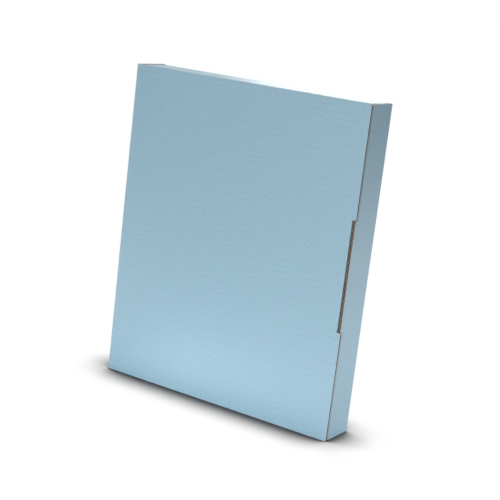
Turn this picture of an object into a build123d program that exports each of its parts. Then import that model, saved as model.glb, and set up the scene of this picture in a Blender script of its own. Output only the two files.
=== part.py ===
"""One-piece folder box: a die-cut sheet of corrugated board, folded shut and standing on its bottom wall.

x runs across the lid, y from the lid's face at the front to the back panel, z up.
The lid turns on its scored fold with the spine, at the left of the front.
"""

import os
from math import ceil, cos, floor, radians, tan

from build123d import *

# Outside of the shut box
width = 285.5
depth = 46.0
height = 342.0

# Board, and how it lies when folded
board = 3.0
fold_inside = 0.2
lay_gap = 0.3
score_gap_angle = 2

# Fluting between the board's two liners, open where a raw edge cuts across it
liner = 0.3
medium = 0.3
flute_pitch = 6.5
flute_foot = 0.5
flute_tip = 0.8
flute_depth = 5.0

# Spine and lid
lid_lift = 0.4
lid_corner = 2.0

# Closing wall at the right, with its flap under the lid
wall_inset = 1.2
wall_flap_reach = 72.0
wall_flap_taper = 9

# End walls at top and bottom, with their flaps under the closing wall's flap
end_drop = 1.0
end_gap = 0.8
end_flap_reach = 64.0
end_flap_taper = 12
flap_corner = 8.0

# Tuck tab, the lid's notch around it and the lip of wall that stands in the notch
notch_length = 114.0
tab_clearance = 1.0
tab_fold = 1.0
tab_side_gap = 0.8
tab_reach = 18.0
tab_taper = 7
tab_corner = 7.0
lip_side_gap = 0.5
slit = 0.4
slot_clearance = 1.5

# A fold bends the board about a line that lies fold_radius inside both outer faces
fold_radius = board + fold_inside
fold_middle = fold_radius - board / 2

# Outer faces, and the middle lines of the panels
left = -width / 2
right = width / 2
front = -depth / 2
back = depth / 2
spine_line = left + board / 2
wall_line = right - board / 2
back_line = back - board / 2
lid_line = front + board / 2

# The flaps lie in two layers under the lid, the closing wall's over the end walls'
flap_root = fold_radius + board
wall_flap_front = front + board + lay_gap
wall_flap_line = wall_flap_front + board / 2
wall_flap_run = wall_flap_reach - flap_root
end_flap_front = wall_flap_front + board + lay_gap
end_flap_line = end_flap_front + board / 2
end_flap_run = end_flap_reach - flap_root

# Heights: the end walls' outer faces are at zero and at end_top
end_top = height - end_drop
end_middle = end_top / 2
end_line = end_top - board / 2
end_width = width - 2 * (board + end_gap)
lid_height = height - lid_lift
lid_middle = lid_lift + lid_height / 2
wall_height = lid_height - 2 * wall_inset

# Tab, slot and lip
tab_face = right - board - tab_clearance
tab_bend = tab_face - tab_fold
tab_root = front + board
tab_run = tab_reach - board
tab_width = notch_length - 2 * tab_side_gap
lip_length = notch_length - 2 * lip_side_gap
lip_reach = board + lay_gap + fold_radius
slot_length = lip_length + 2 * slit
slot_edge = tab_face - board - slot_clearance

# Each half of the lid's score stops just short of the corner's middle, where the fold opens
half_score = 45 - score_gap_angle / 2
score_centre = (left + fold_radius, front + fold_radius)
hinge_inset = fold_radius * (1 - cos(radians(45)))
hinge_line = (left + hinge_inset, front + hinge_inset)

# A flute's open end is a triangle on one liner, with its tip rounded against the other
flute_base = flute_pitch - flute_foot
liner_face = board / 2 - liner
flute_floor = medium - liner_face
with BuildSketch() as flute:
    with BuildLine():
        Polyline((-flute_base / 2, liner_face), (flute_base / 2, liner_face), (0, flute_floor), close=True)
    make_face()
    fillet(flute.vertices().sort_by(Axis.Y)[0], radius=flute_tip)


def flute_ends(low, high):
    """Open flute ends along a raw edge, between two heights from the lid's middle, on each liner in turn."""
    step = flute_pitch / 2
    first = ceil((low + flute_base / 2) / step)
    last = floor((high - flute_base / 2) / step)
    for side in range(2):
        with Locations(*[(line * step, 0) for line in range(first, last + 1) if line % 2 == side]):
            add(flute.sketch, rotation=180 * side)


def flap_outline(sketch, root, run, taper, corner):
    """A flap that narrows from its root, with the corners of its free edge rounded."""
    Trapezoid(root, run, 90 - taper, align=(Align.CENTER, Align.MIN))
    fillet(sketch.vertices().group_by(Axis.Y)[-1], radius=corner)


def straight_half(root, run, taper, corner):
    """Half the length of a flap's free edge, without its rounded corners."""
    return root / 2 - run * tan(radians(taper)) - corner


# Top end wall, folded from the back panel and in again at the front
with BuildPart() as end_wall:
    with BuildSketch(Plane.YZ):
        with BuildLine():
            FilletPolyline(
                (back_line, end_middle),
                (back_line, end_line),
                (end_flap_line, end_line),
                (end_flap_line, end_top - flap_root),
                radius=fold_middle,
            )
        trace(line_width=board)
    extrude(amount=end_width / 2, both=True)
    end_flap_plane = Plane((0, end_flap_front, end_top - flap_root), x_dir=(1, 0, 0), z_dir=(0, 1, 0))
    with BuildSketch(end_flap_plane) as end_flap:
        flap_outline(end_flap, end_width, end_flap_run, end_flap_taper, flap_corner)
    extrude(amount=board)

# The sheet without its lid
with BuildPart() as tray:
    # Spine and the left half of the back panel
    with BuildSketch(Plane.XY.offset(lid_lift)):
        with BuildLine():
            CenterArc(score_centre, fold_middle, 180 + half_score, -half_score)
            FilletPolyline(
                (spine_line, front + fold_radius),
                (spine_line, back_line),
                (0, back_line),
                radius=fold_middle,
            )
        trace(line_width=board)
    extrude(amount=lid_height)

    # Right half of the back panel, closing wall and the root of its flap
    with BuildSketch(Plane.XY.offset(lid_lift + wall_inset)):
        with BuildLine():
            FilletPolyline(
                (0, back_line),
                (wall_line, back_line),
                (wall_line, wall_flap_line),
                (right - flap_root, wall_flap_line),
                radius=fold_middle,
            )
        trace(line_width=board)
    extrude(amount=wall_height)

    # The closing wall's flap, with the flutes open along its free edge
    wall_flap_plane = Plane(
        (right - flap_root, wall_flap_front, lid_middle), x_dir=(0, 0, -1), z_dir=(0, 1, 0)
    )
    with BuildSketch(wall_flap_plane) as wall_flap:
        flap_outline(wall_flap, wall_height, wall_flap_run, wall_flap_taper, flap_corner)
    extrude(amount=board)
    flap_half = straight_half(wall_height, wall_flap_run, wall_flap_taper, flap_corner)
    flap_edge = Plane(
        (right - wall_flap_reach, wall_flap_line, lid_middle), x_dir=(0, 0, 1), z_dir=(-1, 0, 0)
    )
    with BuildSketch(flap_edge):
        flute_ends(-flap_half, flap_half)
    extrude(amount=-flute_depth, mode=Mode.SUBTRACT)

    # The back panel gives way to the folds of the two end walls
    with BuildSketch(Plane.XZ.offset(-back)):
        with Locations((0, 0)):
            Rectangle(end_width, fold_radius, align=(Align.CENTER, Align.MIN))
        with Locations((0, height)):
            Rectangle(end_width, end_drop + fold_radius, align=(Align.CENTER, Align.MAX))
    extrude(amount=board, mode=Mode.SUBTRACT)
    add(end_wall.part)
    mirror(end_wall.part, about=Plane.XY.offset(end_middle))

    # Slot for the tuck tab, cut through the closing wall's fold
    with BuildSketch(Plane.XZ.offset(-wall_flap_front)):
        with Locations((slot_edge, lid_middle)):
            Rectangle(right - slot_edge, slot_length, align=(Align.MIN, Align.CENTER))
    extrude(amount=-fold_radius, mode=Mode.SUBTRACT)

    # Lip of the closing wall, left standing beside the slot, its fluted edge level with the lid's face
    with BuildSketch(Plane.XZ.offset(-front)):
        with Locations((right, lid_middle)):
            Rectangle(board, lip_length, align=(Align.MAX, Align.CENTER))
    extrude(amount=-lip_reach)
    with BuildSketch(Plane((wall_line, front, lid_middle), x_dir=(0, 0, 1), z_dir=(0, -1, 0))):
        flute_ends(-lip_length / 2, lip_length / 2)
    extrude(amount=-flute_depth, mode=Mode.SUBTRACT)

# Lid with its tuck tab
with BuildPart() as lid:
    # The lid's half of the scored fold, and the left half of its panel
    with BuildSketch(Plane.XY.offset(lid_lift)):
        with BuildLine():
            CenterArc(score_centre, fold_middle, 270 - half_score, half_score)
            Line((left + fold_radius, lid_line), (0, lid_line))
        trace(line_width=board)
    extrude(amount=lid_height)

    # Right half of the panel, notched where the tab turns in
    with BuildSketch(Plane.XZ.offset(-front)) as panel:
        with Locations((0, lid_middle)):
            Rectangle(right, lid_height, align=(Align.MIN, Align.CENTER))
        with Locations((tab_bend, lid_middle)):
            Rectangle(right, notch_length, align=(Align.MIN, Align.CENTER), mode=Mode.SUBTRACT)
        fillet(panel.vertices().group_by(Axis.X)[-1], radius=lid_corner)
    extrude(amount=-board)

    # Flutes open along the raw right edge, below the notch and above it
    with BuildSketch(Plane((right, lid_line, lid_middle), x_dir=(0, 0, 1), z_dir=(1, 0, 0))):
        flute_ends(lid_corner - lid_height / 2, -lid_corner - notch_length / 2)
        flute_ends(lid_corner + notch_length / 2, lid_height / 2 - lid_corner)
    extrude(amount=-flute_depth, mode=Mode.SUBTRACT)

    # Tab, folded in behind the lip on a tight score, with the flutes open along its tip
    with BuildSketch(Plane.XY.offset(lid_middle)) as tab_score:
        with Locations((tab_face, front)):
            Rectangle(tab_face, board, align=(Align.MAX, Align.MIN))
        fillet(tab_score.vertices().group_by(Axis.X)[-1].sort_by(Axis.Y)[0], radius=tab_fold)
    extrude(amount=tab_width / 2, both=True)
    tab_plane = Plane((tab_face - board, tab_root, lid_middle), x_dir=(0, 0, -1), z_dir=(1, 0, 0))
    with BuildSketch(tab_plane) as tab:
        flap_outline(tab, tab_width, tab_run, tab_taper, tab_corner)
    extrude(amount=board)
    tip_half = straight_half(tab_width, tab_run, tab_taper, tab_corner)
    tab_tip = Plane((tab_face - board / 2, front + tab_reach, lid_middle), x_dir=(0, 0, 1), z_dir=(0, 1, 0))
    with BuildSketch(tab_tip):
        flute_ends(-tip_half, tip_half)
    extrude(amount=-flute_depth, mode=Mode.SUBTRACT)

os.makedirs("parts", exist_ok=True)
tray.part.label = "tray"
lid.part.label = "lid"
export_step(tray.part, "parts/tray.step")
export_step(lid.part, "parts/lid.step")
print("lid hinge line at x, y:", hinge_line)
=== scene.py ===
"""Looks of a one-piece folder box: printed liner outside, kraft liner inside, fluting open at the cut edges.

Each body is cut as a flat blank, then folded to the frame's sizes: two liners with the fluting between.
On a blank, s runs across the folds beside the back panel and across the lid, t runs up the box, and n goes
into the board from its printed face. The flutes lie along s everywhere, because the box is one sheet.
"""

import math

import bmesh
import bpy
from mathutils import Matrix, Vector


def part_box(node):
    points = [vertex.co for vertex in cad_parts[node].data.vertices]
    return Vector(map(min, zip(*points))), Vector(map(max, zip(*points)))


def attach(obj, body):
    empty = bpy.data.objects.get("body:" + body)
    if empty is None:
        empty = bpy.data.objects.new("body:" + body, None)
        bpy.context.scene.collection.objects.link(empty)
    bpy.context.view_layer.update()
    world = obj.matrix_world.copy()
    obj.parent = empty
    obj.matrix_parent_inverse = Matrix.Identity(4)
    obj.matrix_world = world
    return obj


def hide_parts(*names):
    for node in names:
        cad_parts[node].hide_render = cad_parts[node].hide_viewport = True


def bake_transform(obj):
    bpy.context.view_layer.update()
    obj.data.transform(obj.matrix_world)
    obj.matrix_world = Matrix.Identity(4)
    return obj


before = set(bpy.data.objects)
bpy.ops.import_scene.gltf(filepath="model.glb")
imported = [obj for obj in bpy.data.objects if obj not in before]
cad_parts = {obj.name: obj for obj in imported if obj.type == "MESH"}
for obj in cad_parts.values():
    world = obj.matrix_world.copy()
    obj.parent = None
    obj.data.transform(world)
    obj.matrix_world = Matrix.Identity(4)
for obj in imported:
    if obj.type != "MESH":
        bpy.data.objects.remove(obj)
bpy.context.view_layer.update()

mm = 0.001
tiny = 1e-4 * mm
quarter = math.pi / 2

# Outside of the shut box, from the frame
tray_low, tray_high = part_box("tray")
lid_low, lid_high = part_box("lid")
left, right = tray_low.x, tray_high.x
front, back = lid_low.y, tray_high.y
lid_bottom, lid_top = lid_low.z, lid_high.z
lid_middle = (lid_bottom + lid_top) / 2

# Board: two liners and a waved medium, crushed a little thinner where a cut crosses the flutes
board = 3.0 * mm
liner = 0.25 * mm
medium = 0.5 * mm
flute_pitch = 6.5 * mm
crush = 0.8 * mm
samples_per_flute = 12
groove_depth = 5.0 * mm
groove_steps = 6
groove_end = 1.0 * mm
rim_width = 1.8 * mm
panel_step = 20.0 * mm
panel_bow = 0.1 * mm

# Slow waves in which the panels bow: radians to a metre of the blank, and where they start
bow_across = 23
bow_across_start = 1.1
bow_up = 19
bow_up_start = 0.4
slant_share = 0.6
slant_up = 31
slant_across = 17

# Folds
fold_radius = 3.2 * mm
fold_steps = 12
fold_shoulder = 1.5 * mm
corner_steps = 6
sharp_turn = math.radians(35)

# Layers under the lid, and how far the walls stand in from the lid's ends
lay_gap = 0.3 * mm
wall_inset = 0.5 * mm
end_drop = 0.3 * mm
end_gap = 0.8 * mm
slit = 0.3 * mm
wall_flap_front = front + board + lay_gap
end_flap_front = wall_flap_front + board + lay_gap
wall_bottom, wall_top = lid_bottom + wall_inset, lid_top - wall_inset
end_bottom, end_top = tray_low.z, lid_top - end_drop
end_middle = (end_bottom + end_top) / 2
end_half = right - board - end_gap
slit_half = end_half + slit

# Flaps
flap_root = board
flap_corner = 8.0 * mm
wall_flap_reach = 72.0 * mm
wall_flap_taper = math.radians(9)
end_flap_reach = 64.0 * mm
end_flap_taper = math.radians(12)

# Tuck tab, the notch around it, and the lip and slot that take it
lid_corner = 2.0 * mm
notch_half = 57.0 * mm
tab_half = 56.2 * mm
tab_clearance = 1.0 * mm
tab_face = right - board - tab_clearance
tab_fold = 1.0 * mm
tab_bend = tab_face - fold_radius
notch_edge = tab_face - tab_fold
tab_reach = 18.0 * mm
tab_taper = math.radians(7)
tab_corner = 7.0 * mm
lip_half = 56.5 * mm
slot_half = 56.9 * mm
slot_clearance = 1.5 * mm
slot_edge = tab_face - board - slot_clearance

# Each half of the lid's score stops just short of the corner's middle, where the fold opens
half_score = math.radians(44)

PRINT, KRAFT, CUT = range(3)
# Vertex marks that the materials read; "deep" is how far into a flute groove a point lies, and the cut
# edge's painted shade follows it
vertex_marks = ("rim", "crease", "deep", "pressed")
OPEN, SHUT, HINGE, WELD = "open", "shut", "hinge", "weld"


class FoldPath:
    """The printed face's path over a row of folds, seen end on: straight legs with a bend after each."""

    def __init__(self, start, heading, inward, *legs, corner=fold_radius):
        self.start = Vector(start)
        self.heading = Vector(heading)
        self.inward = Vector(inward)
        self.legs = legs
        self.corner = corner

    def bulge(self, turn):
        """How far a tight bend's printed face stands outside a round one."""
        turn = min(turn, quarter - turn)
        square = fold_radius - self.corner
        if fold_radius * math.tan(turn) <= square:
            return fold_radius / math.cos(turn) - fold_radius
        lean = math.cos(turn) - math.sin(turn)
        spread = math.cos(turn) + math.sin(turn)
        return square * spread + math.sqrt(self.corner**2 - (square * lean) ** 2) - fold_radius

    def place(self, along, depth):
        point, heading, inward = self.start, self.heading, self.inward
        bulge = 0
        for length, bend in self.legs:
            step = min(along, length)
            turn = min((along - step) / fold_radius, bend)
            along -= step + turn * fold_radius
            centre = point + heading * step + inward * fold_radius
            heading, inward = (
                heading * math.cos(turn) + inward * math.sin(turn),
                inward * math.cos(turn) - heading * math.sin(turn),
            )
            point = centre - inward * fold_radius
            bulge += self.bulge(turn)
        return point + inward * (depth * (1 + bulge / board) - bulge)

    def bends(self):
        """Where each bend starts and ends, along the path."""
        along = 0
        for length, bend in self.legs:
            start = along + length
            along = start + bend * fold_radius
            if bend:
                yield start, along

    def marks(self):
        """Where the board needs vertices so that it can follow the bends."""
        for start, end in self.bends():
            yield start - fold_shoulder
            yield end + fold_shoulder
            for step in range(fold_steps + 1):
                yield start + (end - start) * step / fold_steps

    def crease(self, along):
        """1 at the middle of a bend, fading to 0 past its shoulders."""
        fade = 0
        for start, end in self.bends():
            reach = (end - start) / 2 + fold_shoulder
            fade = max(fade, 1 - abs(along - (start + end) / 2) / reach)
        return fade

    def end(self):
        return sum(length + bend * fold_radius for length, bend in self.legs)


class CutLine:
    """A closed cut on the blank, board on its left: corners as (s, t, radius, the edge that follows)."""

    def __init__(self, corners):
        self.corners = [Vector(corner[:2]) for corner in corners]
        self.radii = [corner[2] for corner in corners]
        self.kinds = [corner[3] for corner in corners]
        self.count = len(corners)
        self.lengths = []
        self.along = []
        self.inward = []
        for start, end in zip(self.corners, self.corners[1:] + self.corners[:1]):
            way = (end - start).normalized()
            self.lengths.append((end - start).length)
            self.along.append(way)
            self.inward.append(Vector((-way.y, way.x)))
        self.trims = []
        self.centres = []
        for k in range(self.count):
            turn = self.along[k - 1].angle(self.along[k])
            trim = self.radii[k] * math.tan(turn / 2)
            side = 1 if self.along[k - 1].dot(self.inward[k]) < 0 else -1
            start = self.corners[k] + self.along[k] * trim
            self.trims.append(trim)
            self.centres.append(start + self.inward[k] * self.radii[k] * side)

    def points(self):
        """Points along the cut, close enough together where it crosses the flutes."""
        for k in range(self.count):
            if self.radii[k]:
                first = self.corners[k] - self.along[k - 1] * self.trims[k] - self.centres[k]
                last = self.corners[k] + self.along[k] * self.trims[k] - self.centres[k]
                for step in range(corner_steps):
                    spoke = first.lerp(last, step / corner_steps)
                    yield self.centres[k] + spoke.normalized() * self.radii[k]
            low = self.trims[k]
            high = self.lengths[k] - self.trims[(k + 1) % self.count]
            yield self.corners[k] + self.along[k] * low
            if self.kinds[k] != OPEN:
                continue
            low += groove_end
            high -= groove_end
            rise = abs(self.along[k].y) * (high - low)
            steps = max(1, math.ceil(rise / flute_pitch * samples_per_flute))
            for step in range(steps + 1):
                yield self.corners[k] + self.along[k] * (low + (high - low) * step / steps)

    def nearest(self, point):
        """The cut's element at a point: its distance, whether it is a corner, and its number."""
        found = []
        for k in range(self.count):
            offset = point - self.corners[k]
            past = offset.dot(self.along[k])
            low = self.trims[k]
            high = self.lengths[k] - self.trims[(k + 1) % self.count]
            outside = max(low - past, past - high, 0)
            found.append((math.hypot(outside, offset.dot(self.inward[k])), False, k))
            if self.radii[k]:
                before = -offset.dot(self.along[k - 1])
                inside = past < self.trims[k] and before < self.trims[k]
                away = abs((point - self.centres[k]).length - self.radii[k])
                found.append((away if inside else math.inf, True, k))
            else:
                found.append((offset.length - tiny, True, k))
        return min(found)

    def kind(self, point):
        """Whether the cut is open, pressed shut or no cut at all at a point."""
        _, corner, k = self.nearest(point)
        if corner and OPEN not in (self.kinds[k - 1], self.kinds[k]):
            return SHUT
        return self.kinds[k]

    def pressed(self, point):
        """1 where the cut runs along the flutes and presses the board shut, 0 where it runs across them."""
        k = self.nearest(point)[-1]
        return abs(self.along[k].x)

    def corner_inset(self, k, depths, ends_shut):
        """The corner of the line that lies the given depths inside the two edges at corner k."""
        before, after = depths[self.kinds[k - 1]], depths[self.kinds[k]]
        if ends_shut and not (before and after):
            return self.corners[k]
        a, b = self.inward[k - 1], self.inward[k]
        across = a.x * b.y - a.y * b.x
        return self.corners[k] + Vector((before * b.y - after * a.y, after * a.x - before * b.x)) / across

    def inset(self, point, depths, ends_shut=False):
        """The point that lies inside the cut from this one, at the depth given for each kind of edge."""
        _, corner, k = self.nearest(point)
        depth = depths[self.kinds[k]]
        if corner:
            before = depths[self.kinds[k - 1]]
            if ends_shut and not (before and depth):
                return point
            if self.radii[k] > depth == before:
                return self.centres[k] + (point - self.centres[k]) * (1 - depth / self.radii[k])
            return self.corner_inset(k, depths, ends_shut)
        way = self.along[k]
        past = (point - self.corners[k]).dot(way)
        low = (self.corner_inset(k, depths, ends_shut) - self.corners[k]).dot(way)
        high = (self.corner_inset((k + 1) % self.count, depths, ends_shut) - self.corners[k]).dot(way)
        past = min(max(past, low), high)
        return self.corners[k] + way * past + self.inward[k] * depth


class Sheet:
    """A blank's outline, its holes, its lines across s and t, and how it folds."""

    def __init__(self, outline, place, crease, s_lines, t_lines, hole=None):
        self.cuts = [cut for cut in (outline, hole) if cut]
        self.outline = outline
        self.hole = hole
        self.place = place
        self.crease = crease
        self.s_lines = s_lines
        self.t_lines = t_lines

    def cut_at(self, point):
        return min(self.cuts, key=lambda cut: cut.nearest(point)[0])


def steps_between(low, high):
    """Even lines across a panel."""
    count = math.ceil((high - low) / panel_step)
    return [low + (high - low) * step / count for step in range(1, count)]


def cut_blank(sheet):
    """The sheet's flat blank: a narrow rim along the cuts, the panel inside it, split where it folds."""
    blank = bmesh.new()
    rim_depths = {OPEN: rim_width, SHUT: rim_width, HINGE: 0, WELD: 0}
    outer = []
    inner = []
    for point in sheet.outline.points():
        inset = sheet.outline.inset(point, rim_depths)
        outer.append(blank.verts.new((*point, 0)))
        inner.append(blank.verts.new((*inset, 0)))
    for k, vertex in enumerate(outer):
        blank.faces.new((outer[k - 1], vertex, inner[k], inner[k - 1]))
    blank.faces.new(inner)
    bmesh.ops.remove_doubles(blank, verts=blank.verts, dist=tiny)
    slivers = [face for face in blank.faces if face.calc_area() < tiny * tiny]
    bmesh.ops.delete(blank, geom=slivers, context="FACES")
    for axis, lines in enumerate((sheet.s_lines, sheet.t_lines)):
        normal = Vector((1 - axis, axis, 0))
        for line in sorted(set(lines)):
            everything = blank.verts[:] + blank.edges[:] + blank.faces[:]
            bmesh.ops.bisect_plane(
                blank, geom=everything, dist=tiny, plane_co=normal * line, plane_no=normal
            )
    if sheet.hole:
        low = Vector(map(min, *sheet.hole.corners))
        high = Vector(map(max, *sheet.hole.corners))
        inside = [
            face
            for face in blank.faces
            if all(low[i] < face.calc_center_median()[i] < high[i] for i in range(2))
        ]
        bmesh.ops.delete(blank, geom=inside, context="FACES")
    return blank


def bow(s, t):
    """How far the board has drawn in from dead flat."""
    level = math.sin(s * bow_across + bow_across_start) * math.cos(t * bow_up + bow_up_start)
    slant = slant_share * math.sin(t * slant_up - s * slant_across)
    return panel_bow * (1 + (level + slant) / (1 + slant_share))


class Board:
    """A mesh that folded sheets of board are added to."""

    def __init__(self):
        self.mesh = bmesh.new()
        self.blank = self.mesh.verts.layers.float_vector.new("blank")
        self.marks = {mark: self.mesh.verts.layers.float.new(mark) for mark in vertex_marks}

    def vertex(self, sheet, flat, depth, **marks):
        s, t = flat[0], flat[1]
        made = self.mesh.verts.new(sheet.place(s, t, depth + bow(s, t)))
        made[self.blank] = (s, t, depth)
        made[self.marks["crease"]] = sheet.crease(s, t)
        for mark, level in marks.items():
            made[self.marks[mark]] = level
        return made

    def face(self, corners, material):
        corners = [corner for k, corner in enumerate(corners) if corner is not corners[k - 1]]
        if len(set(corners)) < 3:
            return
        made = self.mesh.faces.new(corners)
        made.material_index = material
        made.smooth = True

    def add(self, sheet):
        blank = cut_blank(sheet)
        edges = [edge for edge in blank.edges if len(edge.link_faces) == 1]
        kinds = {}
        for edge in edges:
            middle = ((edge.verts[0].co + edge.verts[1].co) / 2).to_2d()
            kinds[edge] = sheet.cut_at(middle).kind(middle)
        bare = {vertex for edge in edges if kinds[edge] in (OPEN, SHUT) for vertex in edge.verts}
        groove_depths = {OPEN: groove_depth, SHUT: 0, HINGE: 0, WELD: 0}
        insets = {}
        faces = {}
        for vertex in blank.verts:
            marks = {}
            inner_face = board
            if vertex in bare:
                flat = vertex.co.to_2d()
                cut = sheet.cut_at(flat)
                insets[vertex] = cut.inset(flat, groove_depths, ends_shut=True)
                if (insets[vertex] - flat).length > tiny:
                    inner_face -= crush
                marks = {"rim": 1.0, "pressed": cut.pressed(flat)}
            faces[vertex] = [self.vertex(sheet, vertex.co, depth, **marks) for depth in (0, inner_face)]
        for face in blank.faces:
            self.face([faces[vertex][0] for vertex in face.verts], PRINT)
            self.face([faces[vertex][1] for vertex in reversed(face.verts)], KRAFT)
        profiles = {}
        ribbons = {}
        flute_starts = set()
        flute_ends = set()
        for edge in edges:
            if kinds[edge] == WELD:
                continue
            for vertex in edge.verts:
                if vertex not in profiles:
                    flat = vertex.co.to_2d()
                    inset = insets.get(vertex, flat)
                    pressed = sheet.cut_at(flat).pressed(flat)
                    profiles[vertex] = self.profile(sheet, flat, inset, faces[vertex], pressed)
                    ribbons[vertex] = self.ribbon(sheet, flat, inset)
            a, b = edge.link_loops[0].vert, edge.link_loops[0].link_loop_next.vert
            material = KRAFT if kinds[edge] == HINGE else CUT
            here, there = profiles[a], profiles[b]
            for level in range(len(here) - 1):
                self.face([there[level], here[level], here[level + 1], there[level + 1]], material)
            if kinds[edge] == OPEN and ribbons[a] and ribbons[b]:
                self.flute(ribbons[a], ribbons[b])
                flute_starts.add(a)
                flute_ends.add(b)
        for vertex in ribbons:
            if vertex in flute_starts and vertex not in flute_ends:
                self.flute_end(ribbons[vertex])
            if vertex in flute_ends and vertex not in flute_starts:
                self.flute_end([step[::-1] for step in ribbons[vertex]])
        blank.free()

    def profile(self, sheet, flat, inset, ends, pressed):
        """A cut edge's section: liner, in along the groove, across it, out again, liner."""
        upper = self.vertex(sheet, flat, liner, pressed=pressed)
        if (inset - flat).length < tiny:
            lower = self.vertex(sheet, flat, board - liner, pressed=pressed)
            return [ends[0], upper, upper, lower, lower, ends[1]]
        lower = self.vertex(sheet, flat, board - crush - liner, pressed=pressed)
        # The groove's floor is marked fully deep, so that the cut edge's painted shade is darkest there
        deep_upper = self.vertex(sheet, inset, liner, deep=1.0)
        deep_lower = self.vertex(sheet, inset, board - liner, deep=1.0)
        return [ends[0], upper, deep_upper, deep_lower, lower, ends[1]]

    def ribbon(self, sheet, flat, inset):
        """The medium's two faces, from the cut edge into the groove."""
        if (inset - flat).length < tiny:
            return None
        made = []
        for step in range(groove_steps + 1):
            deep = step / groove_steps
            inner = flat.lerp(inset, deep)
            thickness = board - crush * (1 - deep)
            swing = (thickness - 2 * liner - medium) / 2
            middle = thickness / 2 + swing * math.sin((inner.y - lid_middle) / flute_pitch * 2 * math.pi)
            depths = (middle - medium / 2, middle + medium / 2)
            made.append([self.vertex(sheet, inner, depth, deep=deep) for depth in depths])
        return made

    def flute(self, a, b):
        """The medium between two points of a cut edge."""
        self.face([b[0][0], a[0][0], a[0][1], b[0][1]], CUT)
        self.face([a[-1][0], b[-1][0], b[-1][1], a[-1][1]], CUT)
        for near, far in zip(zip(a, b), zip(a[1:], b[1:])):
            self.face([near[0][0], near[1][0], far[1][0], far[0][0]], CUT)
            self.face([near[1][1], near[0][1], far[0][1], far[1][1]], CUT)

    def flute_end(self, ribbon):
        """The medium's own end, where a cut edge stops crossing the flutes."""
        for near, far in zip(ribbon, ribbon[1:]):
            self.face([near[0], far[0], far[1], near[1]], CUT)

    def finish(self, name, materials):
        for edge in self.mesh.edges:
            if len(edge.link_faces) == 2:
                a, b = edge.link_faces
                turned = a.normal.angle(b.normal, 0) > sharp_turn
                edge.smooth = not (turned or a.material_index != b.material_index)
        mesh = bpy.data.meshes.new(name)
        self.mesh.to_mesh(mesh)
        self.mesh.free()
        for material in materials:
            mesh.materials.append(material)
        piece = bpy.data.objects.new(name, mesh)
        bpy.context.scene.collection.objects.link(piece)
        return piece


def both_ways(marks):
    return [side * mark for mark in marks for side in (-1, 1)]


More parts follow.
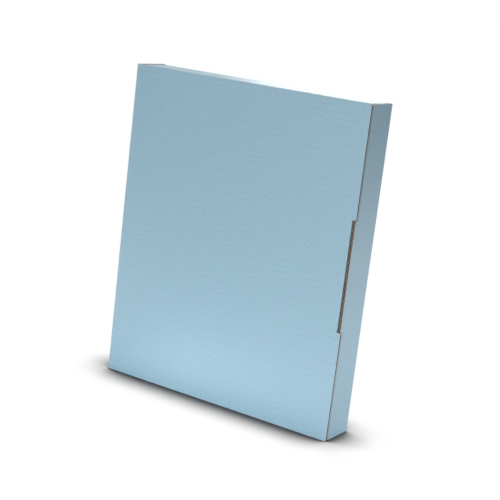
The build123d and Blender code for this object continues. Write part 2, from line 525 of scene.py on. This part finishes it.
def tray_sheet_and_lip():
    """The blank without its lid: back, spine, closing wall with its flap, and both end walls with theirs."""
    side_leg = right - fold_radius
    spine_leg = back - front - 2 * fold_radius
    wall_leg = back - wall_flap_front - 2 * fold_radius
    end_leg = back - end_flap_front - 2 * fold_radius
    end_rise = end_top - fold_radius - end_middle
    spine = FoldPath((0, back), (-1, 0), (0, -1), (side_leg, quarter), (spine_leg, half_score))
    wall_legs = ((side_leg, quarter), (wall_leg, quarter), (wall_flap_reach - fold_radius, 0))
    wall = FoldPath((0, back), (1, 0), (0, -1), *wall_legs)
    lip_leg = wall_leg + wall_flap_front + fold_radius - front
    lip_path = FoldPath((0, back), (1, 0), (0, -1), (side_leg, quarter), (lip_leg, 0))
    end_legs = ((end_rise, quarter), (end_leg, quarter), (end_flap_reach - fold_radius, 0))
    top_end = FoldPath((back, end_middle), (0, 1), (-1, 0), *end_legs)
    bottom_end = FoldPath((back, end_middle), (0, -1), (-1, 0), *end_legs)

    def on_end(s, t):
        return abs(s) < (end_half + slit_half) / 2 and abs(t - end_middle) > end_rise

    def place(s, t, n):
        if on_end(s, t):
            path = top_end if t > end_middle else bottom_end
            y, z = path.place(abs(t - end_middle), n)
            return (s, y, z)
        path = wall if s > 0 else spine
        x, y = path.place(abs(s), n)
        return (x, y, t)

    def crease(s, t):
        if abs(s) < end_half:
            return top_end.crease(abs(t - end_middle))
        if s > side_leg + wall_leg and abs(t - lid_middle) < lip_half:
            return 0
        return (wall if s > 0 else spine).crease(abs(s))

    def place_lip(s, t, n):
        x, y = lip_path.place(s, n)
        return (x, y, t)

    hinge_s = -spine.end()
    wall_end = side_leg + quarter * fold_radius + wall_leg
    flap_start = wall_end + quarter * fold_radius
    flap_end = wall.end()
    flap_narrows = (flap_end - flap_start - flap_root) * math.tan(wall_flap_taper)
    end_tip = top_end.end()
    end_flap_start = end_tip - (end_flap_reach - fold_radius) + flap_root
    end_narrows = (end_tip - end_flap_start) * math.tan(end_flap_taper)

    def end_arm(side):
        """An end wall and its flap, as corners from the slit at one side to the slit at the other."""
        fold = end_middle + side * end_rise
        return [
            (side * end_half, fold, 0, OPEN),
            (side * end_half, end_middle + side * end_flap_start, 0, OPEN),
            (side * (end_half - end_narrows), end_middle + side * end_tip, flap_corner, SHUT),
            (-side * (end_half - end_narrows), end_middle + side * end_tip, flap_corner, OPEN),
            (-side * end_half, end_middle + side * end_flap_start, 0, OPEN),
            (-side * end_half, fold, 0, SHUT),
        ]

    bottom_fold, top_fold = end_middle - end_rise, end_middle + end_rise
    outline = CutLine(
        [
            (hinge_s, lid_bottom, 0, SHUT),
            (-slit_half, lid_bottom, 0, SHUT),
            (-slit_half, bottom_fold, 0, SHUT),
            *end_arm(-1),
            (slit_half, bottom_fold, 0, SHUT),
            (slit_half, wall_bottom, 0, SHUT),
            (flap_start + flap_root, wall_bottom, 0, SHUT),
            (flap_end, wall_bottom + flap_narrows, flap_corner, OPEN),
            (flap_end, wall_top - flap_narrows, flap_corner, SHUT),
            (flap_start + flap_root, wall_top, 0, SHUT),
            (slit_half, wall_top, 0, SHUT),
            (slit_half, top_fold, 0, SHUT),
            *end_arm(1),
            (-slit_half, top_fold, 0, SHUT),
            (-slit_half, lid_top, 0, SHUT),
            (hinge_s, lid_top, 0, HINGE),
        ]
    )
    slot_low, slot_high = lid_middle - slot_half, lid_middle + slot_half
    lip_low, lip_high = lid_middle - lip_half, lid_middle + lip_half
    slot_end = flap_start + right - fold_radius - slot_edge
    slot = CutLine(
        [
            (wall_end, slot_low, 0, SHUT),
            (wall_end, lip_low, 0, WELD),
            (wall_end, lip_high, 0, SHUT),
            (wall_end, slot_high, 0, SHUT),
            (slot_end, slot_high, 0, OPEN),
            (slot_end, slot_low, 0, SHUT),
        ]
    )
    s_lines = [-mark for mark in spine.marks() if mark < spine.end()]
    s_lines += wall.marks()
    s_lines += [wall_end, slot_end, slot_end + rim_width]
    s_lines += steps_between(-side_leg, side_leg)
    t_lines = [end_middle + mark for mark in both_ways(top_end.marks())]
    t_lines += steps_between(bottom_fold, top_fold)
    t_lines += [slot_low, slot_high, slot_low - rim_width, slot_high + rim_width]
    t_lines += [lip_low, lip_high, lip_low + rim_width, lip_high - rim_width]
    sheet = Sheet(outline, place, crease, s_lines, t_lines, slot)

    lip_outline = CutLine(
        [
            (wall_end, lip_low, 0, SHUT),
            (wall_end + lip_leg - wall_leg, lip_low, 0, OPEN),
            (wall_end + lip_leg - wall_leg, lip_high, 0, SHUT),
            (wall_end, lip_high, 0, WELD),
        ]
    )
    lip = Sheet(lip_outline, place_lip, lambda s, t: 0, [], t_lines)
    return sheet, lip


def lid_sheet():
    """The lid: half of its score with the spine, the panel, and the tuck tab in its notch."""
    score = FoldPath((0, front), (-1, 0), (0, 1), (right - fold_radius, half_score))
    panel = FoldPath((0, front), (1, 0), (0, 1), (right, 0))
    tab_legs = ((tab_bend, quarter), (tab_reach - fold_radius, 0))
    tab = FoldPath((0, front), (1, 0), (0, 1), *tab_legs, corner=tab_fold)
    hinge_s = -score.end()
    tab_start = tab_bend + quarter * fold_radius
    tab_tip = tab.end()
    tip_half = tab_half - (tab_tip - tab_start) * math.tan(tab_taper)

    def path_at(s, t):
        if s < 0:
            return score
        return tab if abs(t - lid_middle) < (tab_half + notch_half) / 2 else panel

    def place(s, t, n):
        x, y = path_at(s, t).place(abs(s), n)
        return (x, y, t)

    def crease(s, t):
        return score.crease(-s)

    notch_low, notch_high = lid_middle - notch_half, lid_middle + notch_half
    tab_low, tab_high = lid_middle - tab_half, lid_middle + tab_half
    outline = CutLine(
        [
            (hinge_s, lid_bottom, 0, SHUT),
            (right, lid_bottom, lid_corner, OPEN),
            (right, notch_low, lid_corner, SHUT),
            (notch_edge, notch_low, 0, SHUT),
            (notch_edge, tab_low, 0, SHUT),
            (tab_start, tab_low, 0, SHUT),
            (tab_tip, lid_middle - tip_half, tab_corner, OPEN),
            (tab_tip, lid_middle + tip_half, tab_corner, SHUT),
            (tab_start, tab_high, 0, SHUT),
            (notch_edge, tab_high, 0, SHUT),
            (notch_edge, notch_high, 0, SHUT),
            (right, notch_high, lid_corner, OPEN),
            (right, lid_top, lid_corner, SHUT),
            (hinge_s, lid_top, 0, HINGE),
        ]
    )
    s_lines = [-mark for mark in score.marks() if mark < score.end()]
    s_lines += tab.marks()
    s_lines += steps_between(-right + fold_radius, tab_bend)
    t_lines = [notch_low, tab_low, tab_high, notch_high]
    t_lines += steps_between(lid_bottom, lid_top)
    return Sheet(outline, place, crease, s_lines, t_lines)


def score_strip(materials):
    """The sheet's skin over the lid's score: print at the corner, and the inner liner along it."""
    reach = 0.05 * mm
    lift = 0.01 * mm
    cover = math.radians(10)
    inner_low = 2.2 * mm
    inner_points = 9
    corner_angle = math.radians(225)
    centre = Vector((left + fold_radius, front + fold_radius))
    outward = Vector((math.cos(corner_angle), math.sin(corner_angle)))
    along = Vector((-outward.y, outward.x))
    section = []
    for share in (-1, -0.5, 0, 0.5, 1):
        angle = corner_angle + share * cover
        section.append((centre + Vector((math.cos(angle), math.sin(angle))) * (fold_radius + lift), PRINT))
    section.append((centre + outward * (fold_radius - 2 * liner) + along * reach, KRAFT))
    for k in range(inner_points):
        share = 1 - 2 * k / (inner_points - 1)
        depth = inner_low + (board - inner_low) * share * share
        section.append((centre + outward * (fold_radius - depth) + along * reach * share, KRAFT))
    section.append((centre + outward * (fold_radius - 2 * liner) - along * reach, KRAFT))
    strip = Board()
    rings = []
    levels = [lid_bottom, *steps_between(lid_bottom, lid_top), lid_top]
    for level in levels:
        ring = []
        for point, _ in section:
            made = strip.mesh.verts.new((*point, level))
            made[strip.blank] = (left + (point - centre).dot(along), level, 0)
            made[strip.marks["crease"]] = 1
            made[strip.marks["pressed"]] = 1
            ring.append(made)
        rings.append(ring)
    for below, above in zip(rings, rings[1:]):
        for k in range(len(section)):
            following = (k + 1) % len(section)
            material = section[k][1]
            strip.face([below[k], below[following], above[following], above[k]], material)
    strip.face(list(reversed(rings[0])), CUT)
    strip.face(rings[-1], CUT)
    piece = strip.finish("score_strip", materials)
    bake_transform(piece)
    return piece


# Paper's surface, and the middle of a noise pattern's levels
paper_ior = 1.45
noise_mean = 0.5


def add_node(tree, kind, settings, inputs):
    """Adds a node: its settings are set first, then its sockets' values or links."""
    node = tree.nodes.new(kind)
    for name, value in settings.items():
        setattr(node, name, value)
    for name, value in inputs.items():
        if isinstance(value, Signal):
            tree.links.new(value.socket, node.inputs[name])
        else:
            node.inputs[name].default_value = value
    return node


class Signal:
    """A node's output. Arithmetic on signals adds Math nodes."""

    def __init__(self, socket):
        self.socket = socket
        self.tree = socket.id_data

    def node(self, kind, settings, inputs, output=0):
        """An output of any other node, added to the same material."""
        return Signal(add_node(self.tree, kind, settings, inputs).outputs[output])

    def math(self, operation, *others):
        inputs = dict(enumerate((self, *others)))
        return self.node("ShaderNodeMath", {"operation": operation}, inputs)

    def __add__(self, other):
        return self.math("ADD", other)

    def __sub__(self, other):
        return self.math("SUBTRACT", other)

    def __rsub__(self, other):
        return self.math("MULTIPLY_ADD", -1.0, other)

    def __mul__(self, other):
        return self.math("MULTIPLY", other)

    __radd__ = __add__
    __rmul__ = __mul__


class Finish:
    """A material in the making, with the patterns that paper and board share."""

    def __init__(self, name):
        self.material = bpy.data.materials.new(name)
        self.material.use_nodes = True
        self.tree = self.material.node_tree
        self.tree.nodes.clear()
        flat = add_node(self.tree, "ShaderNodeAttribute", {"attribute_name": "blank"}, {})
        self.blank = Signal(flat.outputs["Vector"])
        self.node = self.blank.node
        self.t = self.node("ShaderNodeSeparateXYZ", {}, {"Vector": self.blank}, "Y")

    def attribute(self, name):
        return self.node("ShaderNodeAttribute", {"attribute_name": name}, {}, "Fac")

    def noise(self, scale, stretch=(1, 1, 1), detail=3.0, roughness=0.5):
        """Noise on the flat blank, with this many spots to a metre."""
        spread = self.node("ShaderNodeVectorMath", {"operation": "MULTIPLY"}, {0: self.blank, 1: stretch})
        inputs = {"Vector": spread, "Scale": scale, "Detail": detail, "Roughness": roughness}
        return self.node("ShaderNodeTexNoise", {}, inputs, "Fac")

    def fade(self, value, low, high):
        """0 where the value is under low, 1 where it is over high."""
        inputs = {"Value": value, "From Min": low, "From Max": high}
        return self.node("ShaderNodeMapRange", {"interpolation_type": "SMOOTHSTEP"}, inputs)

    def mix(self, factor, a, b, blend="MIX"):
        settings = {"data_type": "RGBA", "blend_type": blend}
        return self.node("ShaderNodeMix", settings, {0: factor, 6: a, 7: b}, 2)

    def shade(self, colour, level):
        """A colour made lighter or darker by a signal around 1."""
        grey = self.node("ShaderNodeCombineColor", {}, {0: level, 1: level, 2: level})
        return self.mix(1.0, colour, grey, "MULTIPLY")

    def washboard(self):
        """The flutes showing through a liner: a wave across them, stronger in some places than others."""
        wave = ((self.t - lid_middle) * (2 * math.pi / flute_pitch)).math("SINE")
        patches = self.noise(scale=22, stretch=(0.5, 1.6, 1))
        return wave * self.fade(patches, low=0.35, high=0.7)

    def surface(self, colour, roughness, height):
        """The finished material, with a height in metres as its bump."""
        bump = self.node("ShaderNodeBump", {}, {"Height": height, "Strength": 1.0, "Distance": 1.0})
        inputs = {"Base Color": colour, "Roughness": roughness, "Normal": bump, "IOR": paper_ior}
        shader = self.node("ShaderNodeBsdfPrincipled", {}, inputs)
        add_node(self.tree, "ShaderNodeOutputMaterial", {}, {"Surface": shader})
        return self.material


def paint(red, green, blue):
    """A colour given as it looks on screen, from 0 to 255."""
    shares = (red / 255, green / 255, blue / 255)
    return (*[x / 12.92 if x <= 0.04045 else ((x + 0.055) / 1.055) ** 2.4 for x in shares], 1.0)


def printed_liner():
    """Pale blue print on the outer liner: uneven, fibres and flutes showing, rubbed at cuts and folds."""
    deep_ink = paint(135, 170, 188)
    light_ink = paint(145, 173, 189)
    even_ink = paint(139, 172, 188)
    rubbed_ink = paint(196, 210, 216)
    bare_paper = paint(186, 182, 172)
    mottle_shade = 0.26
    fibre_shade = 0.2
    flute_shade = 0.025
    crease_wear = 0.55
    rim_wear = 0.5
    most_rubbed = 0.5
    most_chipped = 0.7
    satin = 0.45
    fibre_height = 0.02 * mm
    mottle_height = 0.03 * mm
    flute_height = 0.02 * mm
    finish = Finish("printed_liner")
    cloud = finish.noise(scale=45, detail=2.0)
    mottle = finish.noise(scale=420, detail=3.0, roughness=0.6)
    fibre = finish.noise(scale=1500, stretch=(0.35, 1.0, 1.0), detail=2.0)
    washboard = finish.washboard()
    mottling = mottle - noise_mean
    fibring = fibre - noise_mean
    ink = finish.mix(finish.fade(mottle, low=0.3, high=0.7), deep_ink, light_ink)
    ink = finish.mix(finish.fade(cloud, low=0.35, high=0.65), ink, even_ink)
    ink = finish.shade(ink, 1.0 + mottling * mottle_shade + fibring * fibre_shade - washboard * flute_shade)
    wear = finish.attribute("crease") * crease_wear + finish.noise(scale=700) * 0.6
    rubbed = finish.fade(wear, low=0.72, high=0.95)
    ink = finish.mix(rubbed * most_rubbed, ink, rubbed_ink)
    wear = finish.attribute("rim") * rim_wear + finish.noise(scale=900) * 0.7
    chipped = finish.fade(wear, low=0.78, high=0.95)
    ink = finish.mix(chipped * most_chipped, ink, bare_paper)
    roughness = satin + mottling * 0.15 + rubbed * 0.1
    height = fibring * fibre_height + mottling * mottle_height - washboard * flute_height
    return finish.surface(ink, roughness, height)


def kraft_liner():
    """Bare brown liner inside the box: long fibres, dark flecks, and the flutes showing through."""
    dark_kraft = paint(180, 146, 108)
    light_kraft = paint(190, 157, 119)
    fleck_brown = paint(120, 86, 58)
    cloud_shade = 0.12
    fibre_shade = 0.12
    flute_shade = 0.05
    most_flecked = 0.45
    matt = 0.78
    fibre_height = 0.03 * mm
    streak_height = 0.02 * mm
    flute_height = 0.035 * mm
    finish = Finish("kraft_liner")
    cloud = finish.noise(scale=40, detail=2.0)
    streak = finish.noise(scale=700, stretch=(1.0, 0.25, 1.0), detail=4.0, roughness=0.6)
    fibre = finish.noise(scale=1900, stretch=(1.0, 0.3, 1.0), detail=2.0)
    specks = finish.noise(scale=900, stretch=(1.0, 0.4, 1.0), detail=1.0)
    fleck = finish.fade(specks, low=0.68, high=0.76)
    washboard = finish.washboard()
    streaking = streak - noise_mean
    fibring = fibre - noise_mean
    paper = finish.mix(finish.fade(streak, low=0.3, high=0.7), dark_kraft, light_kraft)
    paper = finish.mix(fleck * most_flecked, paper, fleck_brown)
    level = 1.0 + (cloud - noise_mean) * cloud_shade + fibring * fibre_shade + washboard * flute_shade
    paper = finish.shade(paper, level)
    roughness = matt + streaking * 0.1
    height = fibring * fibre_height + streaking * streak_height + washboard * flute_height
    return finish.surface(paper, roughness, height)


def cut_board_edge():
    """Cut liners and medium: dull brown, paler where pressed shut, with painted shade deep in the grooves
    where the flutes run on inside.
    """
    dull_brown = paint(148, 126, 106)
    light_brown = paint(172, 150, 130)
    pressed_grey = paint(198, 188, 176)
    flute_painted_shade = paint(30, 23, 19)
    edge_shade = 0.9
    torn_shade = 0.5
    matt = 0.85
    torn_height = 0.08 * mm
    finish = Finish("cut_edge")
    torn = finish.noise(scale=1800, detail=3.0, roughness=0.65)
    patch = finish.noise(scale=300, detail=2.0)
    tearing = torn - noise_mean
    paper = finish.mix(finish.fade(patch, low=0.3, high=0.7), dull_brown, light_brown)
    paper = finish.mix(finish.attribute("pressed"), paper, pressed_grey)
    paper = finish.shade(paper, edge_shade + tearing * torn_shade)
    # Painted shade: the cut edge darkens nearly to black towards the groove's floor, in place of the shade
    # inside the flutes' tunnels
    paper = finish.mix(finish.fade(finish.attribute("deep"), low=0.0, high=0.05), paper, flute_painted_shade)
    roughness = matt + tearing * 0.1
    return finish.surface(paper, roughness, tearing * torn_height)


def board_piece(name, body, sheets, materials, mirrored):
    """One body's board, in place of its solid.

    A mirrored blank shows its kraft side when s runs to the right and t up.
    """
    made = Board()
    for sheet in sheets:
        made.add(sheet)
    if mirrored:
        bmesh.ops.reverse_faces(made.mesh, faces=made.mesh.faces)
    piece = made.finish(name, materials)
    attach(piece, body)
    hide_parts(body)
    return piece


def floor():
    """Pale floor, on which only the box's shadow shows.

    To the camera it is pure white where nothing stands within the shadow's reach, and near the box it is
    painted darker for the camera than for the light that it throws back, as painted shadow where the box
    hems the floor in.
    """
    size = 6.0
    shadow_reach = 0.052
    shadow_core = 0.55
    shadow_end = 0.95
    shadow_rays = 16
    floor_paint = paint(252, 252, 252)
    shadow_paint = paint(116, 115, 114)
    white_light = (1, 1, 1, 1)
    mesh = bpy.data.meshes.new("floor")
    corners = [(x * size, y * size, 0) for x, y in ((-1, -1), (1, -1), (1, 1), (-1, 1))]
    mesh.from_pydata(corners, [], [(0, 1, 2, 3)])
    surface = bpy.data.objects.new("floor", mesh)
    bpy.context.scene.collection.objects.link(surface)
    material = bpy.data.materials.new("pale_floor")
    material.use_nodes = True
    tree = material.node_tree
    tree.nodes.clear()
    seen = Signal(add_node(tree, "ShaderNodeLightPath", {}, {}).outputs["Is Camera Ray"])
    reach = {"Distance": shadow_reach}
    # Painted shadow: where the box shuts out the sky, the camera sees the floor in the dark shadow paint;
    # further out it fades to white
    open_sky = seen.node("ShaderNodeAmbientOcclusion", {"samples": shadow_rays}, reach, "AO")
    limits = {"Value": open_sky, "From Min": shadow_core, "From Max": shadow_end}
    far = seen.node("ShaderNodeMapRange", {}, limits)
    settings = {"data_type": "RGBA"}
    # Painted shadow: camera rays get the dark shadow paint, while light that bounces off the floor gets the
    # pale floor paint
    floor_or_painted_shadow = seen.node("ShaderNodeMix", settings, {0: seen, 6: floor_paint, 7: shadow_paint}, 2)
    matt = seen.node("ShaderNodeBsdfDiffuse", {}, {"Color": floor_or_painted_shadow})
    white = seen.node("ShaderNodeEmission", {}, {"Color": white_light, "Strength": 1.0})
    shown = seen.node("ShaderNodeMixShader", {}, {0: seen * far, 1: matt, 2: white})
    add_node(tree, "ShaderNodeOutputMaterial", {}, {"Surface": shown})
    mesh.materials.append(material)


def backdrop():
    """White behind everything and in reflections, and a plain soft light from all round for the rest."""
    ambient = 0.1
    white_light = (1, 1, 1, 1)
    world = bpy.data.worlds.new("studio")
    world.use_nodes = True
    tree = world.node_tree
    tree.nodes.clear()
    path = add_node(tree, "ShaderNodeLightPath", {}, {})
    seen = Signal(path.outputs["Is Camera Ray"]) + Signal(path.outputs["Is Glossy Ray"])
    strength = ambient + seen * (1.0 - ambient)
    light = seen.node("ShaderNodeBackground", {}, {"Color": white_light, "Strength": strength})
    add_node(tree, "ShaderNodeOutputWorld", {}, {"Surface": light})
    bpy.context.scene.world = world


def softbox(name, place, target, width, height, power):
    """A lamp with a lit rectangle in metres, which faces the target, and its power in watts."""
    lamp = bpy.data.lights.new(name, "AREA")
    lamp.shape = "RECTANGLE"
    lamp.size = width
    lamp.size_y = height
    lamp.energy = power
    holder = bpy.data.objects.new(name, lamp)
    holder.location = place
    holder.rotation_euler = (Vector(target) - Vector(place)).to_track_quat("-Z", "Y").to_euler()
    bpy.context.scene.collection.objects.link(holder)


def studio():
    """A lamp high over the box, a fill behind and one in front, and low lamps for light off the floor."""
    softbox("top_softbox", (-0.05, 0.18, 3.0), (-0.05, 0.18, 0.0), 1.0, 0.16, 55)
    softbox("back_fill", (-0.5, 1.5, 0.4), (0.0, 0.0, 0.17), 0.8, 0.6, 13)
    softbox("front_fill", (0.2, -1.4, 0.14), (0.0, 0.0, 0.14), 0.8, 0.25, 11.0)
    softbox("front_bounce", (0.04, -0.1525, 0.009), (0.0827, -0.0087, 0.009), 0.334, 0.018, 0.082)
    softbox("left_bounce", (-0.4, -0.18, 0.025), (-0.31, 0.0, 0.025), 0.2, 0.05, 0.18)
    softbox("right_bounce", (0.4, 0.05, 0.04), (0.0, 0.05, 0.04), 0.5, 0.06, 0.40)
    softbox("right_kicker", (0.6, 0.6, 0.05), (0.14, 0.0, 0.1), 0.6, 0.1, 0.38)


def camera():
    """The photograph's own view: from the front right, a little above, and rolled with the box's lean."""
    place = Vector((0.6810, -1.0746, 0.4442))
    ahead = Vector((-0.5161, 0.8295, -0.2132)).normalized()
    up = Vector((-0.2132, 0.1167, 0.9700))
    across = ahead.cross(up).normalized()
    up = across.cross(ahead)
    eye = bpy.data.cameras.new("camera")
    eye.sensor_width = 36.0
    eye.lens = 88.97
    holder = bpy.data.objects.new("camera", eye)
    holder.matrix_world = Matrix.Translation(place) @ Matrix((across, up, -ahead)).transposed().to_4x4()
    bpy.context.scene.collection.objects.link(holder)
    bpy.context.scene.camera = holder


materials = [printed_liner(), kraft_liner(), cut_board_edge()]
board_piece("tray_board", "tray", tray_sheet_and_lip(), materials, mirrored=True)
board_piece("lid_board", "lid", [lid_sheet()], materials, mirrored=False)
score_strip(materials)
floor()
backdrop()
studio()
camera()
bpy.context.scene.view_settings.view_transform = "Standard"
